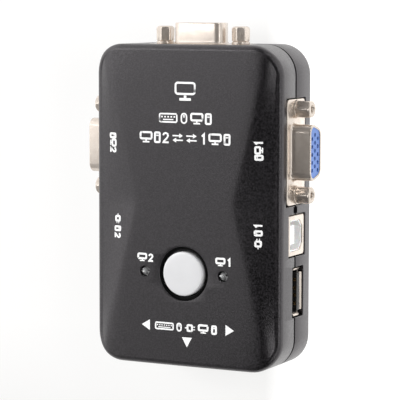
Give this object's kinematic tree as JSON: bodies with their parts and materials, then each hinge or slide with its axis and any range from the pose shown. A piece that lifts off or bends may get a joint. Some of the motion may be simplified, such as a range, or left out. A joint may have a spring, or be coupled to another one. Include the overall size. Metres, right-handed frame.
{
  "type": "kvm switch",
  "caption": "Flat desktop KVM switch with rounded corners, an hourglass face with a push button, and video and USB sockets round its edges.",
  "frame": {"origin": "bottom centre of the whole object's box, on the plane of the four feet", "axes": "+Z out of the face, +Y towards the monitor end, +X towards computer 1's side"},
  "size_m": [0.0734, 0.1012, 0.0256],
  "materials": {
    "case_black": "fine spark-eroded texture",
    "button_silver": "satin",
    "switch_black": "satin",
    "spring_steel": "satin",
    "lamp_clear": "clear",
    "nickel": "bright nickel",
    "vga_blue": "satin",
    "contact_gold": "gold flash",
    "tin": "tin plate",
    "usb_white": "satin",
    "usb_black": "satin",
    "board_green": "solder mask",
    "chip_black": "moulded",
    "screw_steel": "black zinc",
    "foot_rubber": "matte",
    "capacitor_can": "sleeved",
    "print_white": "pad print"
  },
  "bodies": {
    "case": {"top_cover": "case_black", "bottom_cover": "case_black", "main_board": "board_green", "button_board": "board_green", "switch_base": "switch_black", "switch_cover": "tin", "switch_dome": "spring_steel", "switch_terminals": "tin", "led_1": "lamp_clear", "led_2": "lamp_clear", "led_spacers": "switch_black", "led_leads": "tin", "vga_1_shell": "nickel", "vga_1_insert": "vga_blue", "vga_1_contacts": "contact_gold", "vga_1_bracket": "tin", "vga_1_jackscrews": "nickel", "vga_2_shell": "nickel", "vga_2_insert": "vga_blue", "vga_2_contacts": "contact_gold", "vga_2_bracket": "tin", "vga_2_jackscrews": "nickel", "vga_out_shell": "nickel", "vga_out_insert": "vga_blue", "vga_out_contacts": "contact_gold", "vga_out_bracket": "tin", "vga_out_jackscrews": "nickel", "usb_b_1_shell": "nickel", "usb_b_1_insert": "usb_white", "usb_b_1_contacts": "contact_gold", "usb_b_2_shell": "nickel", "usb_b_2_insert": "usb_white", "usb_b_2_contacts": "contact_gold", "usb_a_1_shell": "nickel", "usb_a_1_tongue": "usb_black", "usb_a_1_contacts": "contact_gold", "usb_a_2_shell": "nickel", "usb_a_2_tongue": "usb_black", "usb_a_2_contacts": "contact_gold", "usb_a_3_shell": "nickel", "usb_a_3_tongue": "usb_black", "usb_a_3_contacts": "contact_gold", "case_screws": "screw_steel", "board_screws": "tin", "foot_1": "foot_rubber", "foot_2": "foot_rubber", "foot_3": "foot_rubber", "foot_4": "foot_rubber", "link_socket": "switch_black", "link_header": "switch_black", "link_pins": "contact_gold", "controller_ic": "chip_black", "hub_ic": "chip_black", "video_ics": "chip_black", "crystal": "tin", "capacitors": "capacitor_can", "regulator": "chip_black", "passives": "chip_black"},
    "button": {"button_cap": "button_silver", "switch_plunger": "switch_black"}
  },
  "joints": [
    {"name": "button_press", "type": "slide", "parent": "case", "child": "button", "axis": [0, 0, -1], "range_m": [0, 0.0003], "stiffness_N_per_m": 4000, "springref_m": -0.0002}
  ]
}
